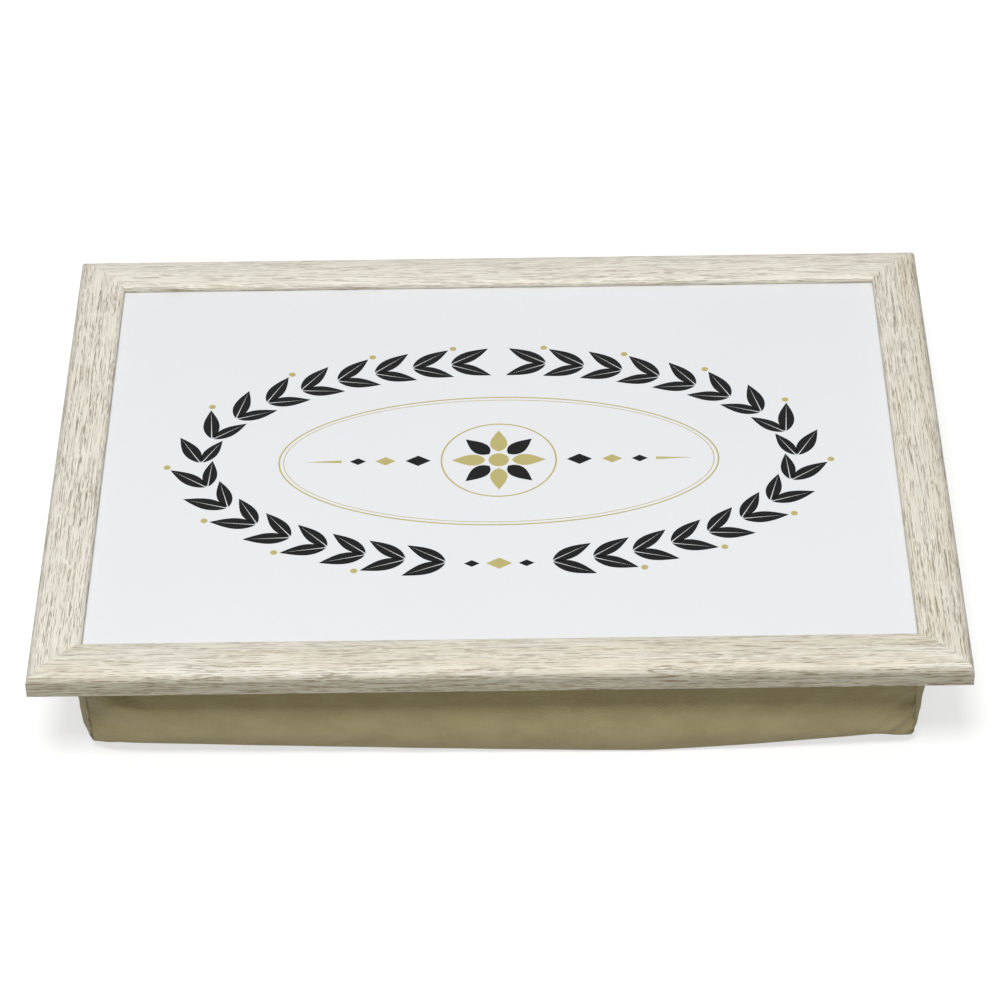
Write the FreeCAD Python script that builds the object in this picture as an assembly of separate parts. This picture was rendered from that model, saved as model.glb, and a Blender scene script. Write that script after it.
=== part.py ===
import FreeCAD
import Part

import math
import os

# Lap tray with a bead cushion, in millimetres.
# A mitred wood-effect frame holds a laminated board against its lip. A cloth bag of beads
# is wrapped round a backing panel, stapled to it and taped under the board, so the tray
# stands on the bag. The origin is on the resting plane under the middle of the tray,
# +X points to the right, +Y to the back and +Z up.

# Overall sizes
tray_width = 435.0
tray_depth = 325.0
cushion_height = 60.0

# Frame moulding
rail_width = 24.0
crest_place_share = 0.54
crown_rise = 1.5
shoulder_radius = 5.4
sight_wall = 3.8
sight_edge_radius = 2.4
lip_edge_radius = 0.8
foot_edge_radius = 0.6
rebate_width = 6.0

# Sheets stacked in the rebate, from the lip down
laminate_thickness = 0.6
board_thickness = 3.0
tape_thickness = 1.0
cloth_thickness = 1.0
panel_thickness = 2.4

# Clearances
board_clearance = 0.5
cover_clearance = 1.0
panel_clearance = 0.2
fill_clearance = 0.3

# Steel V nails across each mitre
v_nail_leg = 3.5
v_nail_gauge = 0.6
v_nail_height = 8.0
v_nail_place_shares = (0.38, 0.74)

# Flat points that keep the board in the rebate
point_length = 14.0
point_width = 6.0
point_gauge = 0.6
point_drive = 7.0
point_spacing = 95.0

# Hem of the bag, its staples and the tape that bonds it to the board
hem_width = 18.0
staple_crown = 10.0
staple_leg = 2.8
staple_wire = 0.6
staple_spacing = 45.0
tape_width = 9.0
tape_gap = 1.0

# Form of the bag, from the resting outline up to the collar, as shares of its height:
# level, draw-in of the corners, swell of the sides past the collar and corner radius
cushion_section_shares = (
    (0.00, 0.500, -0.200, 0.900),
    (0.04, 0.300, -0.050, 0.500),
    (0.16, 0.075, 0.050, 0.085),
    (0.50, 0.035, 0.075, 0.100),
    (1.00, 0.000, 0.000, 0.100),
)

# Levels and insets that follow from the sizes above
frame_underside = cushion_height
panel_top = frame_underside + panel_thickness
hem_top = panel_top + cloth_thickness
board_underside = hem_top + tape_thickness
board_top = board_underside + board_thickness
lip_underside = board_top + laminate_thickness
rebate_height = lip_underside - frame_underside
rail_height = rebate_height + sight_wall + crown_rise
opening_inset = rail_width - rebate_width
collar_inset = opening_inset + cover_clearance

# Sides of the tray: name, length, distance of the outer face from the middle, turn about Z
sides = (
    ("front_rail", tray_width, tray_depth / 2, 0),
    ("right_rail", tray_depth, tray_width / 2, 90),
    ("back_rail", tray_width, tray_depth / 2, 180),
    ("left_rail", tray_depth, tray_width / 2, 270),
)


def vector(x, y, z):
    return FreeCAD.Vector(x, y, z)


def turned(shape, degrees):
    """The shape turned about the tray's vertical middle line."""
    copy = shape.copy()
    copy.rotate(vector(0, 0, 0), vector(0, 0, 1), degrees)
    return copy


def line(start, end):
    return Part.LineSegment(start, end).toShape()


def arc(start, through, end):
    return Part.Arc(start, through, end).toShape()


def block(x_low, x_high, y_low, y_high, z_low, z_high):
    return Part.makeBox(x_high - x_low, y_high - y_low, z_high - z_low, vector(x_low, y_low, z_low))


def slab(half_x, half_y, z_low, z_high):
    """A block centred on the tray's middle line."""
    return block(-half_x, half_x, -half_y, half_y, z_low, z_high)


def prism(points, z_low, z_high):
    """An upright prism over a polygon of (x, y) points."""
    corners = [vector(x, y, z_low) for x, y in points]
    face = Part.Face(Part.makePolygon(corners + corners[:1]))
    return face.extrude(vector(0, 0, z_high - z_low))


def evenly(length, spacing):
    """Middles of equal stretches of a length, each about one spacing long."""
    count = max(1, round(length / spacing))
    return [length * ((i + 0.5) / count - 0.5) for i in range(count)]


def rail_section():
    """Face of the moulding's section: u runs inwards from the outer face, v up from the underside."""

    def at(u, v):
        return vector(0, u, v)

    # The crown is a low arc, level at its crest, that falls to the shoulder and to the sight edge
    crest_u = crest_place_share * rail_width
    run = rail_width - crest_u
    crown_radius = (run**2 + crown_rise**2) / (2 * crown_rise)
    crown_v = rail_height - crown_radius
    right_angle = math.pi / 2

    def on_circle(u, v, radius, angle):
        return at(u + radius * math.sin(angle), v + radius * math.cos(angle))

    def on_crown(angle):
        return on_circle(crest_u, crown_v, crown_radius, angle)

    def level_inside_crown(u, radius):
        """Level of the middle of a circle at u that touches the crown from inside."""
        return crown_v + math.sqrt((crown_radius - radius) ** 2 - (u - crest_u) ** 2)

    def lean_inside_crown(u, radius):
        """Angle from upright at which that circle touches the crown."""
        return math.asin((u - crest_u) / (crown_radius - radius))

    # The shoulder is rounded by a circle that touches the outer face and the crown
    shoulder_v = level_inside_crown(shoulder_radius, shoulder_radius)
    shoulder_lean = lean_inside_crown(shoulder_radius, shoulder_radius)

    # The sight edge is rounded by a circle that touches the crown and the inner wall
    edge_u = rail_width - sight_edge_radius
    edge_v = level_inside_crown(edge_u, sight_edge_radius)
    edge_lean = lean_inside_crown(edge_u, sight_edge_radius)

    foot = foot_edge_radius
    lip = lip_edge_radius
    lip_u = rail_width - lip
    lip_v = rebate_height + lip
    outline = [
        arc(
            at(0, foot),
            on_circle(foot, foot, foot, -1.5 * right_angle),
            at(foot, 0),
        ),
        line(at(foot, 0), at(opening_inset, 0)),
        line(at(opening_inset, 0), at(opening_inset, rebate_height)),
        line(at(opening_inset, rebate_height), at(lip_u, rebate_height)),
        arc(
            at(lip_u, rebate_height),
            on_circle(lip_u, lip_v, lip, 1.5 * right_angle),
            at(rail_width, lip_v),
        ),
        line(at(rail_width, lip_v), at(rail_width, edge_v)),
        arc(
            at(rail_width, edge_v),
            on_circle(edge_u, edge_v, sight_edge_radius, (edge_lean + right_angle) / 2),
            on_crown(edge_lean),
        ),
        arc(on_crown(edge_lean), on_crown(0), on_crown(shoulder_lean)),
        arc(
            on_crown(shoulder_lean),
            on_circle(shoulder_radius, shoulder_v, shoulder_radius, (shoulder_lean - right_angle) / 2),
            at(0, shoulder_v),
        ),
        line(at(0, shoulder_v), at(0, foot)),
    ]
    return Part.Face(Part.Wire(outline))


def make_rail(length, half_span, degrees):
    """One length of moulding, mitred at both ends."""
    section = rail_section()
    section.translate(vector(-length / 2, -half_span, frame_underside))
    bar = section.extrude(vector(length, 0, 0))
    half_inner = length / 2 - rail_width
    plan = (
        (-length / 2, -half_span),
        (length / 2, -half_span),
        (half_inner, rail_width - half_span),
        (-half_inner, rail_width - half_span),
    )
    mitred = bar.common(prism(plan, frame_underside, frame_underside + rail_height))
    return turned(mitred.Solids[0], degrees)


def make_v_nails():
    """Two V-shaped nails across each mitre, pressed in from the underside."""
    nails = []
    for sign_x in (-1, 1):
        for sign_y in (-1, 1):
            for share in v_nail_place_shares:
                apex = share * opening_inset

                def at(inwards, sideways):
                    x = tray_width / 2 - apex - inwards - sideways
                    y = tray_depth / 2 - apex - inwards + sideways
                    return sign_x * x, sign_y * y

                chevron = (
                    at(0, 0),
                    at(v_nail_leg / 2, v_nail_leg / 2),
                    at(v_nail_leg / 2 + v_nail_gauge, v_nail_leg / 2),
                    at(v_nail_gauge, 0),
                    at(v_nail_leg / 2 + v_nail_gauge, -v_nail_leg / 2),
                    at(v_nail_leg / 2, -v_nail_leg / 2),
                )
                nails.append(prism(chevron, frame_underside, frame_underside + v_nail_height))
    return nails


def make_points():
    """Flat steel points driven into the rebate wall, close under the board."""
    points = []
    for _, length, half_span, degrees in sides:
        start = opening_inset - point_drive - half_span
        for x in evenly(length - 2 * rail_width, point_spacing):
            plate = block(
                x - point_width / 2,
                x + point_width / 2,
                start,
                start + point_length,
                board_underside - point_gauge,
                board_underside,
            )
            points.append(turned(plate, degrees))
    return points


def make_board():
    half_x = tray_width / 2 - opening_inset - board_clearance
    half_y = tray_depth / 2 - opening_inset - board_clearance
    return slab(half_x, half_y, board_underside, board_top)


def make_laminate():
    """Facing sheet on the board. Its open area, inside the lip, is a face of its own."""
    half_x = tray_width / 2 - opening_inset - board_clearance
    half_y = tray_depth / 2 - opening_inset - board_clearance
    whole = slab(half_x, half_y, board_top, lip_underside)
    open_area = slab(tray_width / 2 - rail_width, tray_depth / 2 - rail_width, board_top, lip_underside)
    return whole.cut(open_area).fuse(open_area)


def cushion_outline(level, draw_in, swell, radius):
    """Closed outline of the bag at one level: bowed sides and corners that follow on smoothly."""
    inset = collar_inset + draw_in
    bow = draw_in + swell
    edges = []
    for _, length, half_span, degrees in sides:
        along = length / 2 - inset
        across = half_span - inset
        start = vector(radius - along, -across, level)
        end = vector(along - radius, -across, level)
        after = vector(along, radius - across, level)
        if bow > 0:
            side = arc(start, vector(0, -across - bow, level), end)
        else:
            side = line(start, end)

        # Each side has turned a little at its end, and the corner turns the rest of the way
        side_turn = math.atan(bow / (along - radius)) + math.atan(bow / (across - radius))
        corner_turn = math.pi / 2 - 2 * side_turn
        outwards = radius / 2 * math.tan(corner_turn / 4)
        through = (end + after) / 2 + vector(outwards, -outwards, 0)
        edges += [turned(side, degrees), turned(arc(end, through, after), degrees)]
    return Part.Wire(edges)


def cushion_outline_at(section, inset):
    """Outline of one section of the bag, drawn in all round by an inset."""
    level, draw_in, swell, radius = (share * cushion_height for share in section)
    level += inset * (1 - level / cushion_height)
    return cushion_outline(level, draw_in + inset, swell - inset, radius - inset)


def cushion_form(inset):
    """The bag's form up to its collar, as a solid drawn in by an inset."""
    outlines = [cushion_outline_at(section, inset) for section in cushion_section_shares]
    return Part.makeLoft(outlines, True, False)


def collar_form(inset, height):
    """The straight collar above the bag, inside the frame's rebate."""
    face = Part.Face(cushion_outline_at(cushion_section_shares[-1], inset))
    return face.extrude(vector(0, 0, height))


def make_staples():
    """Staples through the hem into the backing panel, flush with the hem."""
    staples = []
    half_wire = staple_wire / 2
    for _, length, half_span, degrees in sides:
        middle = collar_inset + cloth_thickness + hem_width / 2 - half_span
        y_range = (middle - half_wire, middle + half_wire)
        stretch = length - 2 * (collar_inset + cloth_thickness + hem_width)
        for x in evenly(stretch, staple_spacing):
            left = x - staple_crown / 2
            right = x + staple_crown / 2
            staple = block(left, right, *y_range, hem_top - staple_wire, hem_top)
            for leg in (left, right - staple_wire):
                staple = staple.fuse(block(leg, leg + staple_wire, *y_range, hem_top - staple_leg, hem_top))
            staples.append(turned(staple.removeSplitter().Solids[0], degrees))
    return staples


def make_cover(staples):
    """One-piece cloth bag: base, four sides and a hem turned in over the backing panel."""
    outside = cushion_form(0).fuse(collar_form(0, panel_thickness + cloth_thickness))
    inside = cushion_form(cloth_thickness).fuse(collar_form(cloth_thickness, panel_thickness))
    hem_inset = collar_inset + cloth_thickness + hem_width
    window = slab(tray_width / 2 - hem_inset, tray_depth / 2 - hem_inset, panel_top, hem_top)
    return outside.cut(inside).cut(window).cut(Part.makeCompound(staples))


def make_panel(staples):
    panel = collar_form(cloth_thickness + panel_clearance, panel_thickness)
    return panel.cut(Part.makeCompound(staples))


def make_tape():
    """Strips of foam tape between the hem and the board."""
    strips = []
    outer = opening_inset + point_length - point_drive + tape_gap
    for _, length, half_span, degrees in sides:
        ends = outer if length == max(tray_width, tray_depth) else outer + tape_width + tape_gap
        half_length = length / 2 - ends
        strip = block(
            -half_length,
            half_length,
            outer - half_span,
            outer + tape_width - half_span,
            hem_top,
            board_underside,
        )
        strips.append(turned(strip, degrees))
    return strips


def make_parts():
    """Every piece of the tray by name."""
    v_nails = make_v_nails()
    points = make_points()
    staples = make_staples()
    driven = Part.makeCompound(v_nails + points)
    parts = {name: make_rail(*size).cut(driven) for name, *size in sides}
    parts["corner_v_nails"] = Part.makeCompound(v_nails)
    parts["frame_points"] = Part.makeCompound(points)
    parts["tray_board"] = make_board()
    parts["printed_laminate"] = make_laminate()
    parts["bonding_tape"] = Part.makeCompound(make_tape())
    parts["backing_panel"] = make_panel(staples)
    parts["cover_staples"] = Part.makeCompound(staples)
    parts["cushion_cover"] = make_cover(staples)
    parts["bead_filling"] = cushion_form(cloth_thickness + fill_clearance)
    return parts


os.makedirs("parts", exist_ok=True)
for name, shape in make_parts().items():
    shape.exportStep(f"parts/{name}.step")
    print(f"{name}: {len(shape.Solids)} solids, {shape.Volume:.0f} mm3, valid {shape.isValid()}")
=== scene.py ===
"""Lap tray with a bead cushion: looks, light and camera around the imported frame. Metres."""

import math

import bpy
import numpy as np
from mathutils import Matrix, Vector


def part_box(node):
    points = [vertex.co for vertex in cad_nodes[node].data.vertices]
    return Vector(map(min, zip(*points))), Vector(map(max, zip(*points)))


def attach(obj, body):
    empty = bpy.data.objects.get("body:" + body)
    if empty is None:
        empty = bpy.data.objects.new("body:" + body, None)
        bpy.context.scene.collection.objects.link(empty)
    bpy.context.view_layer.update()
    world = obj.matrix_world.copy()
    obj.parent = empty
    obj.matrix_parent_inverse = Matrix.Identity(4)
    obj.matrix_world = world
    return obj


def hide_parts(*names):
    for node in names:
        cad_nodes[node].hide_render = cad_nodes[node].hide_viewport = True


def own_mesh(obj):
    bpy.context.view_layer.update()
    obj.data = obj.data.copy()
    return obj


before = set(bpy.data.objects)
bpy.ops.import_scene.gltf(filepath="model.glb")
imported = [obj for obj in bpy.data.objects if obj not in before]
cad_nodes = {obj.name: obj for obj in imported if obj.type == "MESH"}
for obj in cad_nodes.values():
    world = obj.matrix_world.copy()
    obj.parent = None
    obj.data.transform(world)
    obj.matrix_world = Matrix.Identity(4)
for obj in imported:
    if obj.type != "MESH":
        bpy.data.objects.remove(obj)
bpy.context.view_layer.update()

# Levels and half sizes taken from the CAD frame
frame_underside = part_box("front_rail")[0].z
board_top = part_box("printed_laminate")[1].z
hem_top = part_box("bonding_tape")[0].z
panel_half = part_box("backing_panel")[1]

# Levels between which the moulding turns from its crown to its outer face, below which the oak has
# painted shade
shoulder_top_rise = 0.0115
shoulder_foot_rise = 0.0070
shoulder_top = frame_underside + shoulder_top_rise
shoulder_foot = frame_underside + shoulder_foot_rise

# Photograph's camera, fitted to the corners of the frame
camera_place = (0.01435, -1.47589, 1.25693)
camera_pitch = 0.6895
camera_yaw = -0.0096
camera_roll = -0.0191
camera_lens = 139.14
camera_sensor = 36.0

# Studio: a grey floor with a glow that makes it white, weaker near the object, where its shadow falls
floor_half = 6.0
floor_grey = (0.40, 0.40, 0.40, 1.0)
floor_bounce = (0.50, 0.50, 0.49, 1.0)
floor_glow_share = 0.67
floor_glow_fade = (0.45, 1.20)
backdrop_white = (1.0, 1.0, 1.0, 1.0)
ambient_strength = 0.26
overhead_place = (0.0, 0.1, 1.9)
overhead_size = 2.2
overhead_power = 5.5
key_place = (-0.30, -2.20, 3.90)
key_size = 1.00
key_power = 144.0

# Cloth bag
collar_gap = 0.0012
hem_width = 0.018
hem_thickness = 0.0003
hem_clearance = 0.00005
columns_long = 100
columns_short = 72
side_rows = 16
fine_step = 0.0009
wide_step = 0.0026
step_growth = 1.06

# Filling of the bag by cloth simulation, over a stop that stands for the floor
stop_half = 1.0
stop_gap = 0.001
stop_drop = 0.0013
stop_friction = 20.0
cloth_quality = 8
cloth_mass = 0.1
cloth_air_damping = 3.0
cloth_stretch = 60.0
cloth_shear = 25.0
cloth_bending = 2.0
cloth_damping = 10.0
cloth_pressure = 1.0
cloth_frames = 40

# Lower edge of the bag: rounded, and drawn in at the low and the high end of each axis
edge_passes = 24
edge_reach = 0.005
edge_draw_ins = ((0.0002, 0.0015), (0.0033, 0.0024))
edge_draw_power = 6

# Lifts of that edge towards its corners, whose tips hang down: corner, lift, reach on each axis, power
corner_lifts = (
    ((-1, -1), 0.0102, (0.263, 0.110), 1.25),
    ((-1, -1), -0.0046, (0.018, 0.018), 1.20),
    ((1, -1), 0.0112, (0.130, 0.100), 1.36),
    ((1, -1), -0.0065, (0.021, 0.021), 1.20),
    ((1, 1), 0.0080, (0.160, 0.120), 1.30),
    ((1, 1), -0.0030, (0.020, 0.020), 1.20),
    ((-1, 1), 0.0090, (0.150, 0.110), 1.30),
    ((-1, 1), -0.0035, (0.020, 0.020), 1.20),
)

# Corner seams of the bag: pulled in softly, with a narrow groove along the thread
seam_pull = 0.0032
seam_pull_reach = 0.011
seam_groove = 0.0020
seam_groove_reach = 0.0030
seam_fade_power = 5
seam_tip_shares = {(-1, -1): 1.3, (1, -1): 0.7, (1, 1): 0.8, (-1, 1): 0.7}

# Puckers that run slantwise away from the seams: height and phase at each end of each side
pucker_length = 0.0085
pucker_reach = 0.012
pucker_heights = ((0.0003, 0.0010), (0.0003, 0.0005), (0.0005, 0.0003), (0.0004, 0.0003))
pucker_phases = ((0.4, 2.1), (1.3, 3.7), (5.2, 0.9), (2.6, 4.4))
tick_length = 0.0042
tick_reach = 0.0035
tick_height = 0.0004

# Seam thread with painted shade of its groove: how much of the dark line shows at each end of each side,
# and on the columns away from the seam
thread_and_shade_shown = ((1.0, 0.3), (0.3, 0.6), (0.6, 0.4), (0.4, 1.0))
thread_and_shade_fades = (1.0, 0.4)
# Painted shade of the gathers beside the seams: how strongly it shows, and how far out it reaches
gather_shade_shown = 0.7
gather_shade_width = 0.006

# Single folds: side, place along it, height, slope, half length, width below and above, swell
folds = (
    (0, -0.177, 0.040, -0.62, 0.013, 0.0120, 0.0026, 0.0045),
    (0, -0.145, 0.034, 0.00, 0.045, 0.0180, 0.0160, 0.0025),
    (0, 0.1900, 0.0270, 0.78, 0.009, 0.0035, 0.0022, -0.0028),
    (0, 0.1900, 0.0390, 0.82, 0.009, 0.0040, 0.0025, -0.0020),
    (1, -0.1280, 0.0290, -0.75, 0.011, 0.0060, 0.0030, 0.0012),
    (2, 0.1780, 0.0300, 0.70, 0.010, 0.0050, 0.0030, -0.0012),
    (3, 0.1270, 0.0310, 0.80, 0.010, 0.0060, 0.0030, 0.0012),
)

# Whitewashed oak: size of each kind of grain along and across the rail, levels of the noise between
# which it comes up, and settings of the noise
oak_grain = {
    "tone": ((0.160, 0.0100), (0.35, 0.65), {"detail": 2.0, "distortion": 0.3}),
    "streaks": ((0.055, 0.0024), (0.46, 0.72), {"detail": 3.0, "roughness": 0.6, "distortion": 0.2}),
    "clusters": ((0.040, 0.0045), (0.34, 0.58), {"detail": 2.0}),
    "fibres": ((0.0160, 0.00027), (0.48, 0.64), {"detail": 0.5}),
    "lines": ((0.0320, 0.00031), (0.56, 0.63), {"detail": 0.5}),
    "dashes": ((0.0052, 0.00060), (0.35, 0.56), {"detail": 1.0}),
    "pores": ((0.0120, 0.00045), (0.59, 0.65), {"detail": 1.2, "roughness": 0.6}),
}

# How strongly the grain and the painted shade of the outer face show, and how much bolder the lines are
# there as part of that painted shade
streak_share = 0.40
fibre_share = 0.18
line_share = 0.95
darkest_share = 0.85
face_shade_share = 0.75
face_shade_pore_boost = 0.8

# Relief and gloss of the oak: the levels reach past the mask, so the roughness uses part of its range
pore_depth = 0.00008
oak_gloss_levels = (-1.6, 1.2)
oak_specular = 0.35

# Rails: way of the grain, shift of its pattern, strength of its pores and share of chalk in the wash
rail_grain = {
    "front_rail": ("X", (0.0, 0.0, 0.0), 0.70, 0.05),
    "right_rail": ("Y", (0.31, 0.17, 0.05), 0.78, 0.15),
    "back_rail": ("X", (0.73, 0.21, 0.11), 0.60, 0.70),
    "left_rail": ("Y", (0.57, 0.43, 0.23), 0.80, 0.70),
}

# Satin laminate, whose gloss levels reach past the peel's in the same way
cloud_size = 0.09
peel_size = 0.0016
peel_depth = 0.00002
peel_gloss_levels = (-1.0, 4.0)

# Khaki cotton; noise in the flat cloth has a third size, which has no effect
weave_pitch = 0.0007
weave_depth = 0.00012
sheet_depth = 1.0
slub_length = 0.012
slub_width = 0.0012
slub_levels = (0.85, 1.25)
slub_share = 0.35
slub_height_share = 0.6
over_height_share = 0.5
# share of painted shade in the gaps of the weave
gap_shade_share = 0.30
mottle_size = (0.020, 0.014)
mottle_levels = (0.35, 0.65)
# share of the dark brown on the seam line, which is thread colour and painted shade
thread_and_shade_share = 0.90
cotton_roughness = 0.85
cotton_sheen = 0.15
cotton_sheen_roughness = 0.5

# Pieces inside the tray: nodes, dark and light colour, size of the specks, least roughness and metal
inside_looks = {
    "steel": (
        ("corner_v_nails", "frame_points", "cover_staples"),
        (0.42, 0.42, 0.43, 1.0),
        (0.62, 0.62, 0.62, 1.0),
        0.004,
        0.25,
        1.0,
    ),
    "fibreboard": (("tray_board",), (0.36, 0.25, 0.15, 1.0), (0.46, 0.34, 0.21, 1.0), 0.003, 0.7, 0.0),
    "hardboard": (("backing_panel",), (0.15, 0.09, 0.05, 1.0), (0.24, 0.15, 0.09, 1.0), 0.003, 0.6, 0.0),
    "foam_tape": (("bonding_tape",), (0.70, 0.69, 0.65, 1.0), (0.80, 0.79, 0.76, 1.0), 0.003, 0.8, 0.0),
}
speck_levels = (0.32, 0.68)
speck_depth = 0.00004
speck_roughness_spread = 0.2

# Inks: dark and light colour and least roughness
black_ink = ((0.004, 0.004, 0.004, 1.0), (0.008, 0.008, 0.008, 1.0), 0.40)
gold_ink = ((0.490, 0.425, 0.165, 1.0), (0.540, 0.475, 0.200, 1.0), 0.42)
ink_mottle_size = 0.0035
ink_mottle_depth = 0.00001
ink_roughness_spread = 0.15
ink_specular = 0.10

# Printed ornament: an oval laurel wreath round a rosette
ink_thickness = 0.00005
ink_sink = 0.00001
wreath_half = (0.146, 0.078)
wreath_middle = (0.0, -0.003)
wreath_pairs = 17
wreath_gap = 0.17
wreath_steps = 400
leaf_length = 0.0225
leaf_width = 0.0078
leaf_slit = 0.0005
leaf_offset = 0.0010
leaf_spread = 0.50
leaf_steps = 14
leaf_belly_power = 0.8
leaf_curl = 0.0060
berry_radius = 0.0017
berry_steps = 28
berry_ahead = 0.0035
berry_aside = 0.0012
rule_half = (0.108, 0.050)
rule_width = 0.0008
hairline_width = 0.0004
hairline_gap = 0.0024
ring_steps = 160
petal_count = 8
petal_length = 0.0230
petal_width = 0.0085
petal_start = 0.0065
petal_belly_power = 0.7
rosette_core = 0.0050
core_steps = 42
rosette_ring = 0.0285
lozenge_half = (0.0062, 0.0040)
lozenge_places = (0.0395, 0.0555, 0.0690)
lozenge_shrink_share = 0.80
dart_gap = 0.0080
dart_length = 0.0180
dart_width = 0.0020
tie_reach = 0.0130
tie_shrink_share = 0.60


# Node helpers


def make_material(name):
    """A new node material, with its node tree and its shader."""
    material = bpy.data.materials.new(name)
    material.use_nodes = True
    tree = material.node_tree
    return material, tree, tree.nodes["Principled BSDF"]


def add_node(tree, kind, inputs=None, **settings):
    """A node with its settings, and inputs given as values or as sockets to link."""
    node = tree.nodes.new(kind)
    for key, value in settings.items():
        setattr(node, key, value)
    for key, value in (inputs or {}).items():
        if isinstance(value, bpy.types.NodeSocket):
            tree.links.new(value, node.inputs[key])
        else:
            node.inputs[key].default_value = value
    return node


def maths(tree, operation, first, second=0.0):
    """Result of one sum on values or sockets."""
    return add_node(tree, "ShaderNodeMath", {0: first, 1: second}, operation=operation).outputs[0]


def mix_colours(tree, factor, first, second):
    """The first colour where the factor is 0, and the second where it is 1."""
    inputs = {0: factor, 6: first, 7: second}
    return add_node(tree, "ShaderNodeMix", inputs, data_type="RGBA").outputs[2]


def between(tree, value, low, high):
    """0 up to low, 1 from high on and a smooth rise between them; low may be the larger."""
    inputs = {"Value": value, "From Min": low, "From Max": high}
    return add_node(tree, "ShaderNodeMapRange", inputs, interpolation_type="SMOOTHSTEP").outputs[0]


def noise(tree, coords, size, detail=2.0, roughness=0.5, distortion=0.0):
    """Noise whose blotches are about as large as size, a length for each axis."""
    scale = tuple(1 / length for length in size)
    mapping = add_node(tree, "ShaderNodeMapping", {"Vector": coords, "Scale": scale})
    inputs = {
        "Vector": mapping.outputs[0],
        "Scale": 1.0,
        "Detail": detail,
        "Roughness": roughness,
        "Distortion": distortion,
    }
    return add_node(tree, "ShaderNodeTexNoise", inputs).outputs[0]


def object_coords(tree):
    """Places in metres, which stay on the surface when the piece moves."""
    return add_node(tree, "ShaderNodeTexCoord").outputs["Object"]


def set_roughness(tree, shader, mask, spread, least):
    """Roughness that rises with a mask from its least value by a spread."""
    rise = maths(tree, "MULTIPLY", mask, spread)
    tree.links.new(maths(tree, "ADD", rise, least), shader.inputs["Roughness"])


def add_bump(tree, shader, height, distance):
    """Relief as deep as a distance where the height goes from 0 to 1."""
    inputs = {"Height": height, "Distance": distance, "Strength": 1.0}
    tree.links.new(add_node(tree, "ShaderNodeBump", inputs).outputs[0], shader.inputs["Normal"])


# Materials


def whitewashed_oak(name, along, shift, contrast, wash):
    """Whitewashed oak: cream with peach streaks and fine brown pores, with painted shade on the outer
    face: darker cream, denser pores and bolder lines.
    """
    material, tree, shader = make_material(name)
    place = object_coords(tree)
    coords = add_node(tree, "ShaderNodeMapping", {"Vector": place, "Location": shift}).outputs[0]

    def grain(kind):
        """Mask of one kind of grain, drawn out along the rail."""
        (length, width), levels, settings = oak_grain[kind]
        size = (length, width, width) if along == "X" else (width, length, width)
        return between(tree, noise(tree, coords, size, **settings), *levels)

    def faded(mask, strength):
        """A mask made weaker by a strength below 1."""
        return maths(tree, "MULTIPLY", mask, strength)

    cream = (0.755, 0.715, 0.592, 1.0)
    pale = (0.800, 0.773, 0.678, 1.0)
    peach = (0.700, 0.600, 0.438, 1.0)
    chalk = (0.858, 0.828, 0.726, 1.0)
    # painted shade: a darker cream for the outer face, which is turned away from the light
    face_shade_cream = (0.415, 0.392, 0.288, 1.0)
    pore_brown = (0.205, 0.150, 0.080, 1.0)
    level = add_node(tree, "ShaderNodeSeparateXYZ", {0: place}).outputs[2]
    # mask of the painted shade on the outer face, below the shoulder
    outer_face_shade = between(tree, level, shoulder_top, shoulder_foot)
    colour = mix_colours(tree, grain("tone"), cream, pale)
    colour = mix_colours(tree, faded(grain("streaks"), streak_share), colour, peach)
    colour = mix_colours(tree, wash, colour, chalk)
    colour = mix_colours(tree, faded(outer_face_shade, face_shade_share), colour, face_shade_cream)
    colour = mix_colours(tree, faded(grain("fibres"), fibre_share), colour, pore_brown)

    # the painted shade of the outer face also adds pores there and makes the lines bolder
    pore_clusters_and_shade = maths(tree, "ADD", grain("clusters"), outer_face_shade)
    broken_lines = maths(tree, "MULTIPLY", grain("lines"), grain("dashes"))
    bolder = maths(tree, "ADD", faded(outer_face_shade, face_shade_pore_boost), 1.0)
    line_mask = maths(tree, "MULTIPLY", faded(broken_lines, line_share * contrast), bolder)
    pore_mask = maths(tree, "MULTIPLY", faded(grain("pores"), contrast), pore_clusters_and_shade)
    dents = maths(tree, "MINIMUM", maths(tree, "MAXIMUM", pore_mask, line_mask), darkest_share)
    colour = mix_colours(tree, dents, colour, pore_brown)
    tree.links.new(colour, shader.inputs["Base Color"])
    tree.links.new(between(tree, dents, *oak_gloss_levels), shader.inputs["Roughness"])
    shader.inputs["Specular IOR Level"].default_value = oak_specular
    add_bump(tree, shader, maths(tree, "SUBTRACT", 1.0, dents), pore_depth)
    return material


def satin_laminate():
    """Smooth white facing with faint clouds and a fine peel."""
    material, tree, shader = make_material("satin_laminate")
    coords = object_coords(tree)
    cloud = noise(tree, coords, [cloud_size] * 3, detail=2.0)
    peel = noise(tree, coords, [peel_size] * 3, detail=2.0)
    cool_white = (0.800, 0.810, 0.830, 1.0)
    clear_white = (0.820, 0.828, 0.845, 1.0)
    tree.links.new(mix_colours(tree, cloud, cool_white, clear_white), shader.inputs["Base Color"])
    tree.links.new(between(tree, peel, *peel_gloss_levels), shader.inputs["Roughness"])
    add_bump(tree, shader, peel, peel_depth)
    return material


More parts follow.
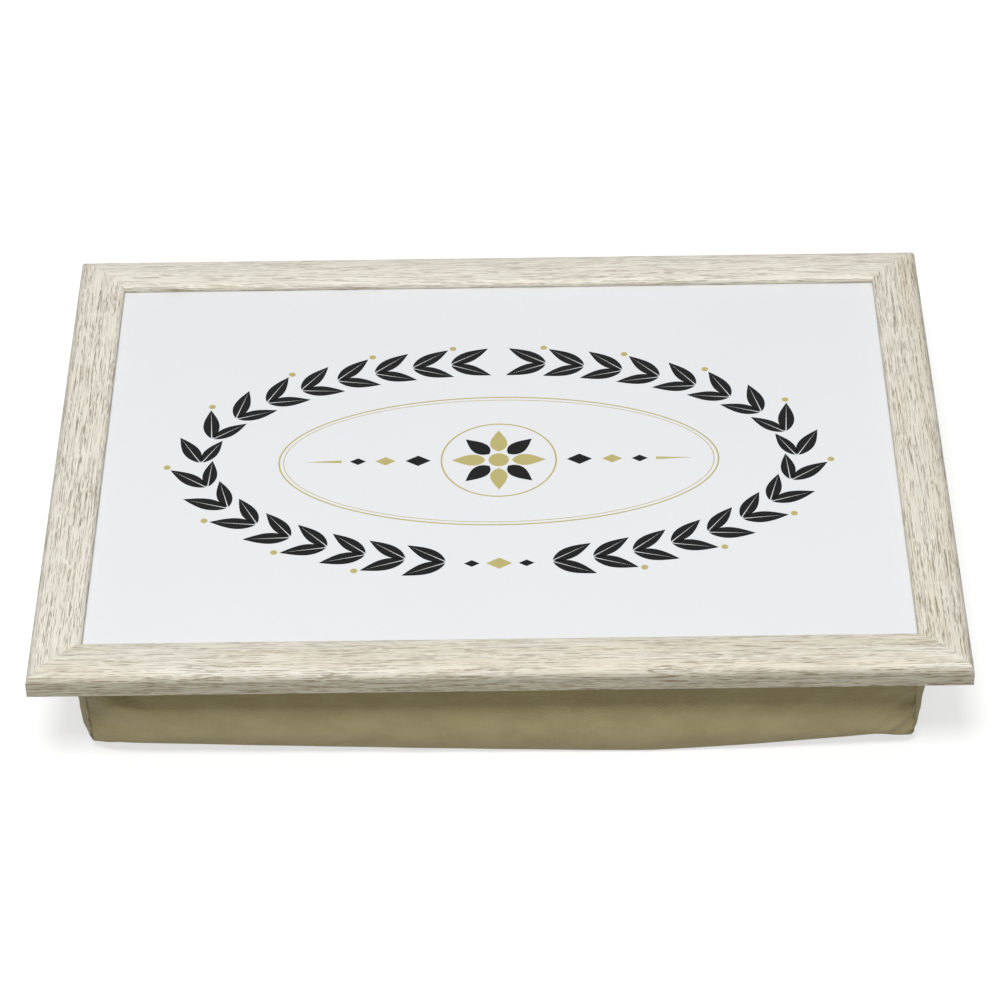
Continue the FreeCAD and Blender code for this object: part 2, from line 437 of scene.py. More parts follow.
def plain_weave(name):
    """Khaki cotton in a plain weave, with slubs along the threads and soft mottling."""
    material, tree, shader = make_material(name)
    cloth = add_node(tree, "ShaderNodeUVMap", uv_map="cloth").outputs[0]
    axes = add_node(tree, "ShaderNodeSeparateXYZ", {0: cloth})
    half_turns = [maths(tree, "MULTIPLY", axes.outputs[i], math.pi / weave_pitch) for i in (0, 1)]
    warp, weft = (maths(tree, "SINE", angle) for angle in half_turns)
    over = maths(tree, "MULTIPLY", warp, weft)
    threads = maths(tree, "ABSOLUTE", over)

    warp_slubs = noise(tree, cloth, (slub_length, slub_width, sheet_depth), detail=2.0)
    weft_slubs = noise(tree, cloth, (slub_width, slub_length, sheet_depth), detail=2.0)
    slubs = maths(tree, "ADD", warp_slubs, weft_slubs)
    mottle = noise(tree, cloth, (*mottle_size, sheet_depth), detail=4.0, roughness=0.6)

    khaki = (0.396, 0.329, 0.160, 1.0)
    light_khaki = (0.461, 0.394, 0.204, 1.0)
    # painted shade in the gaps between the threads
    gap_shade_khaki = (0.247, 0.199, 0.088, 1.0)
    # dark brown for the seam thread, also used as painted shade in the seam's groove and in the gathers
    # beside it
    thread_and_shade_brown = (0.075, 0.046, 0.016, 1.0)
    colour = mix_colours(tree, between(tree, mottle, *mottle_levels), khaki, light_khaki)
    thick = maths(tree, "MULTIPLY", between(tree, slubs, *slub_levels), slub_share)
    colour = mix_colours(tree, thick, colour, light_khaki)
    # painted shade: darker in the gaps between the threads of the weave
    gap_shade = maths(tree, "MULTIPLY", maths(tree, "SUBTRACT", 1.0, threads), gap_shade_share)
    colour = mix_colours(tree, gap_shade, colour, gap_shade_khaki)
    # seam line: thread colour and painted shade of its groove, with painted shade in the gathers beside
    # it
    thread = add_node(tree, "ShaderNodeAttribute", attribute_name="seam").outputs["Fac"]
    colour = mix_colours(tree, maths(tree, "MULTIPLY", thread, thread_and_shade_share), colour, thread_and_shade_brown)
    tree.links.new(colour, shader.inputs["Base Color"])
    shader.inputs["Roughness"].default_value = cotton_roughness
    shader.inputs["Sheen Weight"].default_value = cotton_sheen
    shader.inputs["Sheen Roughness"].default_value = cotton_sheen_roughness
    over_height = maths(tree, "MULTIPLY", over, over_height_share)
    slub_height = maths(tree, "MULTIPLY", slubs, slub_height_share)
    add_bump(tree, shader, maths(tree, "ADD", over_height, slub_height), weave_depth)
    return material


def speckled(name, dark, light, size, roughness, metal):
    """A mottled plain material for pieces inside the tray."""
    material, tree, shader = make_material(name)
    speck = noise(tree, object_coords(tree), [size] * 3, detail=4.0, roughness=0.65)
    colour = mix_colours(tree, between(tree, speck, *speck_levels), dark, light)
    tree.links.new(colour, shader.inputs["Base Color"])
    set_roughness(tree, shader, speck, speck_roughness_spread, roughness)
    shader.inputs["Metallic"].default_value = metal
    add_bump(tree, shader, speck, speck_depth)
    return material


def ink(name, dark, light, roughness):
    """Print ink with a faint mottle and a little less gloss than the board."""
    material, tree, shader = make_material(name)
    mottle = noise(tree, object_coords(tree), [ink_mottle_size] * 3, detail=3.0)
    tree.links.new(mix_colours(tree, mottle, dark, light), shader.inputs["Base Color"])
    set_roughness(tree, shader, mottle, ink_roughness_spread, roughness)
    shader.inputs["Specular IOR Level"].default_value = ink_specular
    add_bump(tree, shader, mottle, ink_mottle_depth)
    return material


def assign(piece, material):
    """Give a piece one material, in place of any that it has."""
    piece.data.materials.clear()
    piece.data.materials.append(material)


# Mesh helpers


def make_piece(name, vertices, faces):
    """A new mesh object in the scene."""
    places = [tuple(vertex) for vertex in vertices]
    corners = [tuple(int(number) for number in face) for face in faces]
    mesh = bpy.data.meshes.new(name)
    mesh.from_pydata(places, [], corners)
    mesh.update()
    piece = bpy.data.objects.new(name, mesh)
    bpy.context.scene.collection.objects.link(piece)
    return piece


def make_square(name, half, level):
    """A level square round the origin, facing up."""
    corners = [(x * half, y * half, level) for x, y in ((-1, -1), (1, -1), (1, 1), (-1, 1))]
    return make_piece(name, corners, [(0, 1, 2, 3)])


# Cushion


class Side:
    """One side panel of the bag: the way it runs, the way it faces and its half sizes."""

    def __init__(self, along, outwards, half_length, half_span, columns):
        self.along = np.array(along, float)
        self.outwards = np.array(outwards, float)
        self.half_length = half_length
        self.half_span = half_span
        self.columns = columns

    def points(self, share, out, level):
        """Points at shares of the side's length, on a ring that stands out by a length."""
        run = np.outer(share * (self.half_length + out), self.along)
        return run + self.outwards * (self.half_span + out) + np.array([0, 0, level])


collar_x = panel_half.x + collar_gap
collar_y = panel_half.y + collar_gap
bag_sides = (
    Side((1, 0, 0), (0, -1, 0), collar_x, collar_y, columns_long),
    Side((0, 1, 0), (1, 0, 0), collar_y, collar_x, columns_short),
    Side((-1, 0, 0), (0, 1, 0), collar_x, collar_y, columns_long),
    Side((0, -1, 0), (-1, 0, 0), collar_y, collar_x, columns_short),
)


def sheet_faces(grid):
    """Quads over a grid, of vertex numbers or of places in the cloth."""
    rows, columns = grid.shape[:2]
    corners = ((0, 0), (0, 1), (1, 1), (1, 0))
    return [
        tuple(grid[j + row, i + column] for row, column in corners)
        for j in range(rows - 1)
        for i in range(columns - 1)
    ]


class Bag:
    """The bag as four side panels and a base, each a grid of points that share their borders.

    A side panel runs from its first corner to its last, seen from outside, and from the
    collar down to the resting outline. The base has its front border as first row.
    """

    def __init__(self, panels, base):
        self.panels = panels
        self.base = base

    def vertices_and_faces(self):
        """One closed skin below the collar, with the vertex numbers of each panel and the base."""
        rows = self.panels[0].shape[0]
        ring = np.concatenate([panel[:, :-1] for panel in self.panels], axis=1)
        count = ring.shape[1]
        numbers = np.arange(rows * count).reshape(rows, count)
        wrapped = np.concatenate([numbers, numbers[:, :1]], axis=1)
        indices = []
        start = 0
        for panel in self.panels:
            columns = panel.shape[1] - 1
            indices.append(wrapped[:, start : start + columns + 1])
            start += columns

        front, right, back, left = (index[-1] for index in indices)
        inner = self.base[1:-1, 1:-1]
        base_index = np.zeros(self.base.shape[:2], int)
        base_index[0] = front
        base_index[:, -1] = right
        base_index[-1] = back[::-1]
        base_index[:, 0] = left[::-1]
        inner_numbers = rows * count + np.arange(inner.shape[0] * inner.shape[1])
        base_index[1:-1, 1:-1] = inner_numbers.reshape(inner.shape[:2])
        vertices = np.concatenate([ring.reshape(-1, 3), inner.reshape(-1, 3)])
        faces = []
        for index in indices:
            faces += sheet_faces(index[::-1])
        faces += sheet_faces(base_index.T)
        return vertices, faces, indices, base_index


def unfilled_bag():
    """The bag as it is sewn: straight sides from the collar down, and a flat base."""
    levels = np.linspace(frame_underside, 0, side_rows + 1)
    panels = []
    for side in bag_sides:
        share = np.linspace(-1, 1, side.columns + 1)
        panels.append(np.array([side.points(share, 0, level) for level in levels]))
    x = panels[0][-1, :, 0]
    y = panels[1][-1, :, 1]
    base = np.stack([*np.meshgrid(x, y), np.zeros((len(y), len(x)))], axis=-1)
    return Bag(panels, base)


def fill(bag):
    """The bag filled with beads: cloth under pressure, held at its collar and standing on a stop."""
    vertices, faces, indices, _ = bag.vertices_and_faces()
    cloth = make_piece("filling_cloth", vertices + np.array([0, 0, stop_gap]), faces)
    held = cloth.vertex_groups.new(name="held")
    held.add([int(number) for index in indices for number in index[0]], 1.0, "REPLACE")
    stop = make_square("filling_floor", stop_half, -stop_drop)
    stop.modifiers.new("Collision", "COLLISION")
    stop.collision.thickness_outer = stop_gap
    stop.collision.cloth_friction = stop_friction

    modifier = cloth.modifiers.new("Cloth", "CLOTH")
    settings = modifier.settings
    settings.quality = cloth_quality
    settings.mass = cloth_mass
    settings.air_damping = cloth_air_damping
    settings.tension_stiffness = cloth_stretch
    settings.compression_stiffness = cloth_stretch
    settings.shear_stiffness = cloth_shear
    settings.bending_stiffness = cloth_bending
    settings.tension_damping = cloth_damping
    settings.compression_damping = cloth_damping
    settings.shear_damping = cloth_damping
    settings.use_pressure = True
    settings.uniform_pressure_force = cloth_pressure
    settings.vertex_group_mass = held.name
    settings.effector_weights.gravity = 0.0
    modifier.collision_settings.use_collision = True
    modifier.collision_settings.distance_min = stop_gap
    modifier.point_cache.frame_start = 1
    modifier.point_cache.frame_end = cloth_frames

    for step in range(1, cloth_frames + 1):
        bpy.context.scene.frame_set(step)
    filled = cloth.evaluated_get(bpy.context.evaluated_depsgraph_get()).to_mesh()
    places = np.empty(len(vertices) * 3)
    filled.vertices.foreach_get("co", places)
    places = places.reshape(-1, 3)
    bpy.context.scene.frame_set(1)
    bpy.data.objects.remove(cloth)
    bpy.data.objects.remove(stop)
    panels = [levelled(places[index], side) for index, side in zip(indices, bag_sides)]
    return Bag(panels, flat_base(panels))


def levelled(panel, side):
    """A side panel with its collar at the frame, and its lower edge evened to a fitted bow at level 0."""
    level = panel[..., 2]
    share = (level - level[-1]) / (level[0] - level[-1])
    along = panel[-1] @ side.along
    place = 2 * (along - along[0]) / (along[-1] - along[0]) - 1
    out = panel[-1] @ side.outwards
    chord = out[0] + (out[-1] - out[0]) * (place + 1) / 2
    bows = np.stack([1 - place**2, place * (1 - place**2)], axis=-1)
    bow = bows @ np.linalg.lstsq(bows, out - chord, rcond=None)[0]
    even = panel + ((chord + bow - out) * (1 - share))[..., None] * side.outwards
    even[..., 2] = share * frame_underside
    return even


def flat_base(panels):
    """A grid of points between the lower edges of the four side panels."""
    front, right, back, left = (panel[-1] for panel in panels)
    back = back[::-1]
    left = left[::-1]
    s = np.linspace(0, 1, len(front))[None, :, None]
    t = np.linspace(0, 1, len(right))[:, None, None]
    across = left[:, None] * (1 - s) + right[:, None] * s
    along = front[None] * (1 - t) + back[None] * t
    corners = (front[0] * (1 - s) + front[-1] * s) * (1 - t) + (back[0] * (1 - s) + back[-1] * s) * t
    return across + along - corners


def growing_places(length):
    """Places from 0 to 1 over a length: close together at 0 and wider apart from there on."""
    steps = [0, fine_step]
    while sum(steps) < length:
        steps.append(min(steps[-1] * step_growth, wide_step))
    return np.cumsum(steps) / sum(steps)


def places_between_seams(length):
    """Places from 0 to 1 that are close together at both ends."""
    half = growing_places(length / 2) / 2
    return np.concatenate([half, 1 - half[-2::-1]])


def resampled(grid, places):
    """The grid's rows at new places, from 0 to 1, on smooth curves through the old ones."""
    last = grid.shape[0] - 1
    where = np.clip(np.asarray(places) * last, 0, last)
    cell = np.minimum(where.astype(int), last - 1)
    t = (where - cell).reshape(-1, *[1] * (grid.ndim - 1))
    before = 2 * grid[0] - grid[1]
    after = 2 * grid[-1] - grid[-2]
    padded = np.concatenate([before[None], grid, after[None]])
    p0, p1, p2, p3 = (padded[cell + k] for k in range(4))
    bend = (2 * p0 - 5 * p1 + 4 * p2 - p3) * t**2 + (3 * p1 - p0 - 3 * p2 + p3) * t**3
    return p1 + ((p2 - p0) * t + bend) / 2


def refined(bag):
    """The bag on a finer grid, with rows close together at the seams and at the lower edge."""
    long_places = places_between_seams(2 * collar_x)
    short_places = places_between_seams(2 * collar_y)
    row_places = 1 - growing_places(frame_underside)[::-1]
    panels = []
    for panel, places in zip(bag.panels, (long_places, short_places) * 2):
        rows = resampled(panel, row_places)
        panels.append(np.swapaxes(resampled(np.swapaxes(rows, 0, 1), places), 0, 1))
    base = resampled(bag.base, short_places)
    base = np.swapaxes(resampled(np.swapaxes(base, 0, 1), long_places), 0, 1)
    return Bag(panels, base)


def with_round_edge(bag):
    """The bag with its lower edge eased to a small round, and its corner seams left sharp."""
    vertices, faces, indices, base_index = bag.vertices_and_faces()
    quads = np.array(faces)
    pairs = np.concatenate([quads[:, [k, (k + 1) % 4]] for k in range(4)])
    count = len(vertices)
    neighbours = np.bincount(pairs.ravel(), minlength=count)
    run_in = np.minimum(collar_x - np.abs(vertices[:, 0]), collar_y - np.abs(vertices[:, 1]))
    from_edge = np.hypot(vertices[:, 2], np.maximum(run_in, 0))
    ease = np.clip(1 - from_edge / edge_reach, 0, 1)[:, None]
    for _ in range(edge_passes):
        mean = np.empty_like(vertices)
        for axis in range(3):
            ends = vertices[pairs[:, ::-1].ravel(), axis]
            mean[:, axis] = np.bincount(pairs.ravel(), ends, count) / neighbours
        vertices = vertices + ease * (mean - vertices) / 2
    vertices[:, 2] -= vertices[:, 2].min()
    return Bag([vertices[index] for index in indices], vertices[base_index])


def share_up(points):
    """How far up the bag points are: 0 at the resting plane and 1 at the frame."""
    return np.clip(points[..., 2] / frame_underside, 0, 1)


def seam_distance(points):
    """How far points are from the nearest upright corner of the unfilled bag."""
    across_x = np.maximum(collar_x - np.abs(points[..., 0]), 0)
    across_y = np.maximum(collar_y - np.abs(points[..., 1]), 0)
    return np.hypot(across_x, across_y)


def corner_lift(points):
    """How far the underside stands off the floor."""
    total = np.zeros(points.shape[:-1])
    for (x_sign, y_sign), lift, (x_reach, y_reach), power in corner_lifts:
        x_share = np.clip(1 - np.abs(points[..., 0] - x_sign * collar_x) / x_reach, 0, 1)
        y_share = np.clip(1 - np.abs(points[..., 1] - y_sign * collar_y) / y_reach, 0, 1)
        total += lift * (x_share * y_share) ** power
    return total


def tip_share(points):
    """How much of the seam's pull is left at the lower tip of the nearest corner."""
    total = np.zeros(points.shape[:-1])
    for (x_sign, y_sign), share in seam_tip_shares.items():
        nearest = (np.sign(points[..., 0]) == x_sign) & (np.sign(points[..., 1]) == y_sign)
        total[nearest] = share
    return total


def shaped(points):
    """Points of the bag with its seams pulled in and its lower edge drawn in and lifted."""
    up = share_up(points)
    from_seam = seam_distance(points)
    soft = seam_pull * np.exp(-((from_seam / seam_pull_reach) ** 2))
    narrow = seam_groove * np.exp(-from_seam / seam_groove_reach) * np.sqrt(up)
    at_tip = 1 + (tip_share(points) - 1) * (1 - up) ** 2
    pull = (soft + narrow) * (1 - up**seam_fade_power) * at_tip
    moved = points.copy()
    for axis, half in ((0, collar_x), (1, collar_y)):
        draw = np.where(points[..., axis] < 0, *edge_draw_ins[axis]) * (1 - up) ** edge_draw_power
        moved[..., axis] -= np.sign(points[..., axis]) * pull + points[..., axis] / half * draw
    moved[..., 2] += corner_lift(points) * (1 - up)
    return moved


def fold_swell(number, along, level):
    """How far a side's single folds stand out at places along it."""
    total = np.zeros(along.shape)
    for side, place, height, slope, half_length, width_below, width_above, swell in folds:
        if side != number:
            continue
        step_along = along - place
        step_up = level - height
        with_fold = step_along * math.cos(slope) + step_up * math.sin(slope)
        over_fold = step_up * math.cos(slope) - step_along * math.sin(slope)
        width = np.where(over_fold > 0, width_above, width_below)
        total += swell * np.exp(-((with_fold / half_length) ** 2) - (over_fold / width) ** 2)
    return total


def pucker_swell(number, along, level, half_length):
    """How far the slanting puckers and the small gathers beside both seams stand out."""
    total = np.zeros(along.shape)
    for height, phase, end in zip(pucker_heights[number], pucker_phases[number], (-1, 1)):
        from_seam = np.maximum(half_length - end * along, 0)
        slant = (level + from_seam) * math.tau / (pucker_length * math.sqrt(2))
        total += height * np.sin(slant + phase) * np.exp(-from_seam / pucker_reach)
        ticks = np.sin((level + from_seam / 2) * math.tau / tick_length + phase)
        tick_fade = np.exp(-from_seam / tick_reach) * np.clip(from_seam / fine_step, 0, 1)
        total += tick_height * ticks * tick_fade
    return total


def creased(bag):
    """The filled bag in its photographed form, with seams, puckers and folds."""
    panels = []
    for number, (panel, side) in enumerate(zip(bag.panels, bag_sides)):
        along = panel @ side.along
        level = panel[..., 2]
        swell = fold_swell(number, along, level) + pucker_swell(number, along, level, side.half_length)
        up = share_up(panel)
        swell *= (1 - up**seam_fade_power) * np.clip(level / edge_reach, 0, 1)
        swell[:, [0, -1]] = 0
        panels.append(shaped(panel) + swell[..., None] * side.outwards)
    return Bag(panels, shaped(bag.base))


def with_collar(bag):
    """The bag with its collar drawn up round the panel, and its hem."""
    hem_level = hem_top - hem_clearance
    hem_foot = hem_level - hem_thickness
    inside_out = hem_clearance - collar_gap
    turns = (
        (inside_out, frame_underside - hem_clearance),
        (inside_out, hem_foot),
        (-collar_gap - hem_width, hem_foot),
        (-collar_gap - hem_width, hem_level),
        (0, hem_level),
    )
    panels = []
    for panel, side in zip(bag.panels, bag_sides):
        share = panel[0] @ side.along / side.half_length
        rows = np.array([side.points(share, out, level) for out, level in turns])
        panels.append(np.concatenate([rows, panel]))
    return Bag(panels, bag.base)


def cloth_places(panel, side):
    """Places in a flat side panel: along it and down its rows, in metres."""
    middle = panel.shape[1] // 2
    steps = np.linalg.norm(np.diff(panel[:, middle], axis=0), axis=-1)
    down = np.concatenate([[0], np.cumsum(steps)])
    along = panel[-1] @ side.along
    return np.stack(np.broadcast_arrays(along[None, :], -down[:, None]), axis=-1)


def thread_and_shade_strength(bag, indices, count):
    """How dark the seam line is at each vertex, as thread colour and painted shade of its groove, and how
    strongly painted shade shows in the gathers beside it.
    """
    strength = np.zeros(count)
    for panel, index, side, shown in zip(bag.panels, indices, bag_sides, thread_and_shade_shown):
        for end, share in zip((0, -1), shown):
            inwards = 1 if end == 0 else -1
            corner = panel[:, [end]] @ side.along
            # the seam line itself: thread colour and painted shade of its groove
            for step, fade in enumerate(thread_and_shade_fades):
                column = end + inwards * step
                strength[index[:, column]] = np.maximum(strength[index[:, column]], share * fade)
            # painted shade in the creases of the gathers: slanting dark ticks beside the seam
            from_seam = np.abs(panel @ side.along - corner)
            slant = panel[..., 2] - from_seam
            ticks = np.clip(np.sin(slant * math.tau / tick_length), 0, 1)
            gathers = (gather_shade_shown - share) * ticks * np.exp(-from_seam / tick_reach)
            gathers = gathers * (1 - share_up(panel) ** 2) * (from_seam < gather_shade_width)
            strength[index] = np.maximum(strength[index], gathers)
    return strength


def make_cushion(bag):
    """The cushion as one closed piece, with its cloth laid out flat for the weave."""
    collared = with_collar(creased(bag))
    vertices, faces, indices, _ = collared.vertices_and_faces()
    cloth = []
    for panel, side in zip(collared.panels, bag_sides):
        cloth += sheet_faces(cloth_places(panel, side)[::-1])
    cloth += sheet_faces(np.swapaxes(collared.base[..., :2], 0, 1))

    middle = len(vertices)
    rim = np.concatenate([index[0, :-1] for index in indices])
    cap_level = frame_underside - hem_clearance
    vertices = np.concatenate([vertices, [[0, 0, cap_level]]])
    for first, second in zip(rim, np.roll(rim, -1)):
        faces.append((first, second, middle))
        cloth.append(tuple(vertices[number, :2] for number in faces[-1]))

    piece = make_piece("cushion", vertices, faces)
    layer = piece.data.uv_layers.new(name="cloth")
    layer.data.foreach_set("uv", np.concatenate([np.concatenate(face) for face in cloth]))
    piece.data.polygons.foreach_set("use_smooth", [True] * len(faces))
    seam = piece.data.attributes.new("seam", "FLOAT", "POINT")
    seam.data.foreach_set("value", thread_and_shade_strength(collared, indices, len(vertices)))
    return piece


# Printed ornament


class Print:
    """Patches of ink on the board, each a thin closed sheet sunk a little into it."""

    def __init__(self):
        self.vertices = []
        self.faces = []
        self.low = board_top - ink_sink
        self.high = self.low + ink_thickness

    def add_loop(self, outline):
        """Lower and upper vertex numbers of an outline."""
        first = len(self.vertices)
        count = len(outline)
        for level in (self.low, self.high):
            self.vertices += [(x, y, level) for x, y in outline]
        return range(first, first + count), range(first + count, first + 2 * count)

    def add_walls(self, lower, upper):
        """Faces between two loops of vertex numbers."""
        count = len(lower)
        for this in range(count):
            following = (this + 1) % count
            self.faces.append((lower[this], lower[following], upper[following], upper[this]))

    def add_patch(self, outline):
        """Ink inside an outline that runs anticlockwise seen from above."""
        lower, upper = self.add_loop(outline)
        self.faces.append(tuple(upper))
        self.faces.append(tuple(reversed(lower)))
        self.add_walls(lower, upper)

    def add_ring(self, outside, inside):
        """Ink between two outlines with as many points each, both anticlockwise."""
        out_low, out_high = self.add_loop(outside)
        in_low, in_high = self.add_loop(inside)
        self.add_walls(out_low, out_high)
        self.add_walls(in_high, in_low)
        self.add_walls(out_high, in_high)
        self.add_walls(in_low, out_low)

    def finish(self, name, material):
        """Make the piece, which rides on the tray."""
        piece = make_piece(name, self.vertices, self.faces)
        assign(piece, material)
        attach(piece, "tray")


def placed(outline, middle, angle):
    """An outline turned by an angle and moved to a middle."""
    cos, sin = math.cos(angle), math.sin(angle)
    return [(middle[0] + x * cos - y * sin, middle[1] + x * sin + y * cos) for x, y in outline]


def half_leaf(side, scale):
    """One half of a leaf beside its middle vein, from the stem out along +x."""
    shares = np.linspace(0, 1, leaf_steps)
    length = leaf_length * scale
    bulge = leaf_width * scale / 2 * np.sin(math.pi * shares**leaf_belly_power)
    vein = leaf_slit / 2 * (1 - shares)
    vein_line = [(leaf_offset + share * length, y) for share, y in zip(shares, vein)]
    curve = [(x, y + swell) for (x, y), swell in zip(vein_line, bulge)]
    outline = vein_line[:-1] + curve[:0:-1]
    if side < 0:
        outline = [(x, -y) for x, y in reversed(outline)]
    return outline


def round_outline(half_x, half_y, steps, middle=wreath_middle):
    """An oval, anticlockwise seen from above."""
    turns = [math.tau * k / steps for k in range(steps)]
    return [(middle[0] + half_x * math.cos(a), middle[1] + half_y * math.sin(a)) for a in turns]


def on_wreath(turn):
    """Place on the wreath's oval and the way it runs there, turn measured from its foot."""
    half_x, half_y = wreath_half
    place = (wreath_middle[0] + half_x * math.sin(turn), wreath_middle[1] - half_y * math.cos(turn))
    return place, math.atan2(half_y * math.sin(turn), half_x * math.cos(turn))


def even_turns(count, first, last):
    """Turns from first to last that part the oval's line into equal lengths."""
    turns = np.linspace(first, last, wreath_steps)
    half_x, half_y = wreath_half
    speed = np.hypot(half_x * np.cos(turns), half_y * np.sin(turns))
    length = np.concatenate([[0], np.cumsum((speed[1:] + speed[:-1]) / 2)])
    return np.interp(np.linspace(0, length[-1], count), length, turns)


def inner_scale(turn):
    """How much smaller a leaf inside the oval is, where the oval turns tightly."""
    half_x, half_y = wreath_half
    speed = math.hypot(half_x * math.cos(turn), half_y * math.sin(turn))
    return 1 - leaf_curl * half_x * half_y / speed**3


def petal(angle):
    """One petal of the rosette, pointing outwards at an angle."""
    shares = np.linspace(0, 1, leaf_steps)
    bulge = petal_width / 2 * np.sin(math.pi * shares**petal_belly_power)
    upper = [(petal_start + share * (petal_length - petal_start), y) for share, y in zip(shares, bulge)]
    lower = [(x, -y) for x, y in upper[1:-1]]
    return placed(lower + upper[::-1], wreath_middle, angle)


def lozenge(middle, share):
    """A lozenge with its long way across the board."""
    x, y = middle
    long_half, short_half = (half * share for half in lozenge_half)
    return [(x + long_half, y), (x, y + short_half), (x - long_half, y), (x, y - short_half)]


def print_wreath(black, gold):
    """Leaves in pairs up both branches, with berries outside and a tie of lozenges at the foot."""
    turns = even_turns(wreath_pairs, wreath_gap, math.pi - wreath_gap)
    tip = (leaf_length * math.cos(leaf_spread), leaf_length * math.sin(leaf_spread))
    for hand in (-1, 1):
        for k, turn in enumerate(turns):
            place, way = on_wreath(hand * turn)
            if hand < 0:
                way += math.pi
            for side in (-1, 1):
                scale = 1 if side == -hand else inner_scale(turn)
                for half in (-1, 1):
                    leaf = placed(half_leaf(half, scale), (0, 0), side * leaf_spread)
                    black.add_patch(placed(leaf, place, way))
            if k % 2:
                berry = (tip[0] + berry_ahead, -hand * (tip[1] + berry_aside))
                middle = placed([berry], place, way)[0]
                gold.add_patch(round_outline(berry_radius, berry_radius, berry_steps, middle))
    foot_x, foot_y = on_wreath(0)[0]
    gold.add_patch(lozenge((foot_x, foot_y), 1))
    for hand in (-1, 1):
        black.add_patch(lozenge((foot_x + hand * tie_reach, foot_y), tie_shrink_share))


def print_middle(black, gold):
    """Thin ovals, a rosette in a ring, and a row of lozenges on each side of it."""
    half_x, half_y = rule_half
    for inset, width in ((0, rule_width), (hairline_gap, hairline_width)):
        outside = round_outline(half_x - inset, half_y - inset, ring_steps)
        gold.add_ring(outside, round_outline(half_x - inset - width, half_y - inset - width, ring_steps))
    for k in range(petal_count):
        (black if k % 2 else gold).add_patch(petal(math.tau * k / petal_count))
    gold.add_patch(round_outline(rosette_core, rosette_core, core_steps))
    ring_inside = rosette_ring - rule_width
    gold.add_ring(
        round_outline(rosette_ring, rosette_ring, ring_steps),
        round_outline(ring_inside, ring_inside, ring_steps),
    )
    for angle in (0, math.pi):
        for k, reach in enumerate(lozenge_places):
            tips = lozenge((reach, 0), lozenge_shrink_share**k)
            (gold if k % 2 else black).add_patch(placed(tips, wreath_middle, angle))
        start = lozenge_places[-1] + dart_gap
        dart = [(start, -dart_width / 2), (start + dart_length, 0), (start, dart_width / 2)]
        gold.add_patch(placed(dart, wreath_middle, angle))


def make_ornament():
    """The print on the board, as one piece for each ink."""
    black = Print()
    gold = Print()
    print_wreath(black, gold)
    print_middle(black, gold)
    black.finish("print_black", ink("black_ink", *black_ink))
    gold.finish("print_gold", ink("gold_ink", *gold_ink))


# Studio


def ray_mask(tree):
    """1 for rays that show a surface as it is: from the camera, off gloss and through glass."""
    path = add_node(tree, "ShaderNodeLightPath")
    seen = maths(tree, "MAXIMUM", path.outputs["Is Camera Ray"], path.outputs["Is Glossy Ray"])
    return maths(tree, "MAXIMUM", seen, path.outputs["Is Transmission Ray"])


def make_floor():
    """A floor that looks white, keeps the object's shadow and lights the object as a plain grey."""
    floor = make_square("floor", floor_half, 0)
    material, tree, shader = make_material("floor_white")
    tree.nodes.remove(shader)
    grey = add_node(tree, "ShaderNodeBsdfDiffuse", {"Color": floor_grey})
    distance = add_node(tree, "ShaderNodeVectorMath", {0: object_coords(tree)}, operation="LENGTH")
    far = between(tree, distance.outputs["Value"], *floor_glow_fade)
    rise = maths(tree, "MULTIPLY", far, 1 - floor_glow_share)
    glow = add_node(tree, "ShaderNodeEmission", {"Strength": maths(tree, "ADD", rise, floor_glow_share)})
    shown = add_node(tree, "ShaderNodeAddShader", {0: grey.outputs[0], 1: glow.outputs[0]})
    bounce = add_node(tree, "ShaderNodeBsdfDiffuse", {"Color": floor_bounce})
    inputs = {0: ray_mask(tree), 1: bounce.outputs[0], 2: shown.outputs[0]}
    mixed = add_node(tree, "ShaderNodeMixShader", inputs)
    tree.links.new(mixed.outputs[0], tree.nodes["Material Output"].inputs["Surface"])
    assign(floor, material)


def make_world():
    """A white backdrop, and a dimmer white that lights the object from all round."""
    world = bpy.data.worlds.new("studio")
    bpy.context.scene.world = world
    world.use_nodes = True
    tree = world.node_tree
    seen = tree.nodes["Background"]
    seen.inputs["Color"].default_value = backdrop_white
    light = {"Color": backdrop_white, "Strength": ambient_strength}
    ambient = add_node(tree, "ShaderNodeBackground", light)
    inputs = {0: ray_mask(tree), 1: ambient.outputs[0], 2: seen.outputs[0]}
    mixed = add_node(tree, "ShaderNodeMixShader", inputs)
    tree.links.new(mixed.outputs[0], tree.nodes["World Output"].inputs["Surface"])


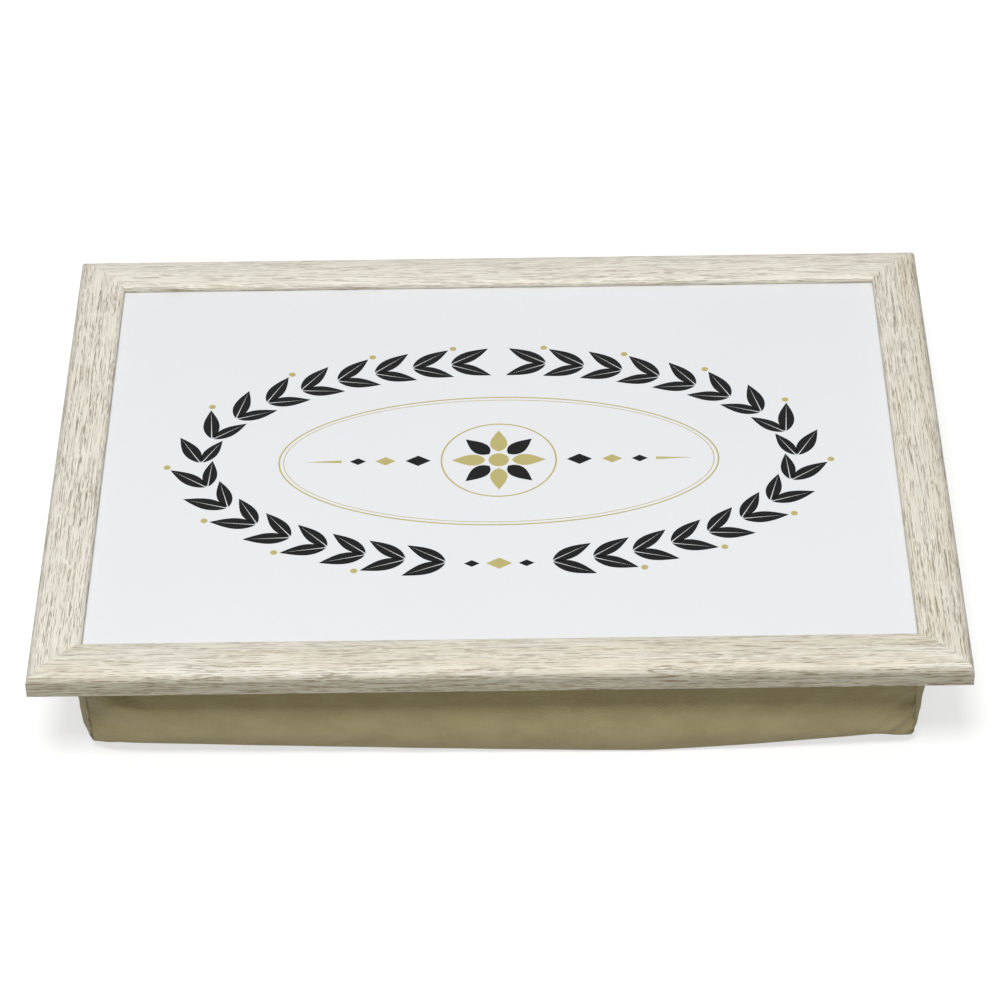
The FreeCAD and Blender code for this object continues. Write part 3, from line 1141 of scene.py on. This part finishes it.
def make_lamp(name, place, size, power):
    """A square soft box that faces the object."""
    data = bpy.data.lights.new(name, "AREA")
    data.shape = "SQUARE"
    data.size = size
    data.energy = power
    lamp = bpy.data.objects.new(name, data)
    lamp.location = place
    lamp.rotation_euler = (-Vector(place)).to_track_quat("-Z", "Y").to_euler()
    bpy.context.scene.collection.objects.link(lamp)


def make_camera():
    """The photograph's camera, turned by its yaw, pitch and roll."""
    level_forward = Vector((math.sin(camera_yaw), math.cos(camera_yaw), 0))
    level_right = Vector((math.cos(camera_yaw), -math.sin(camera_yaw), 0))
    forward = level_forward * math.cos(camera_pitch) - Vector((0, 0, math.sin(camera_pitch)))
    level_up = level_right.cross(forward)
    right = level_right * math.cos(camera_roll) + level_up * math.sin(camera_roll)
    up = level_up * math.cos(camera_roll) - level_right * math.sin(camera_roll)
    data = bpy.data.cameras.new("camera")
    data.sensor_width = camera_sensor
    data.lens = camera_lens
    camera = bpy.data.objects.new("camera", data)
    turn = Matrix((right, up, -forward)).transposed()
    camera.matrix_world = Matrix.Translation(camera_place) @ turn.to_4x4()
    bpy.context.scene.collection.objects.link(camera)
    bpy.context.scene.camera = camera


# Materials of the CAD pieces
for node, (along, shift, contrast, wash) in rail_grain.items():
    assign(cad_nodes[node], whitewashed_oak("oak_" + node, along, shift, contrast, wash))
assign(cad_nodes["printed_laminate"], satin_laminate())
for look, (nodes, *settings) in inside_looks.items():
    material = speckled(look, *settings)
    for node in nodes:
        assign(cad_nodes[node], material)

# Soft cushion in place of the bag and its beads
filled_bag = unfilled_bag()
filled_bag = fill(filled_bag)
cushion = make_cushion(with_round_edge(refined(filled_bag)))
assign(cushion, plain_weave("khaki_weave"))
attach(cushion, "cushion")
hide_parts("cushion_cover", "bead_filling")
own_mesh(cushion)

# Print on the board
make_ornament()

# Studio and camera
make_floor()
make_world()
make_lamp("overhead", overhead_place, overhead_size, overhead_power)
make_lamp("key", key_place, key_size, key_power)
make_camera()
bpy.context.scene.view_settings.view_transform = "Standard"
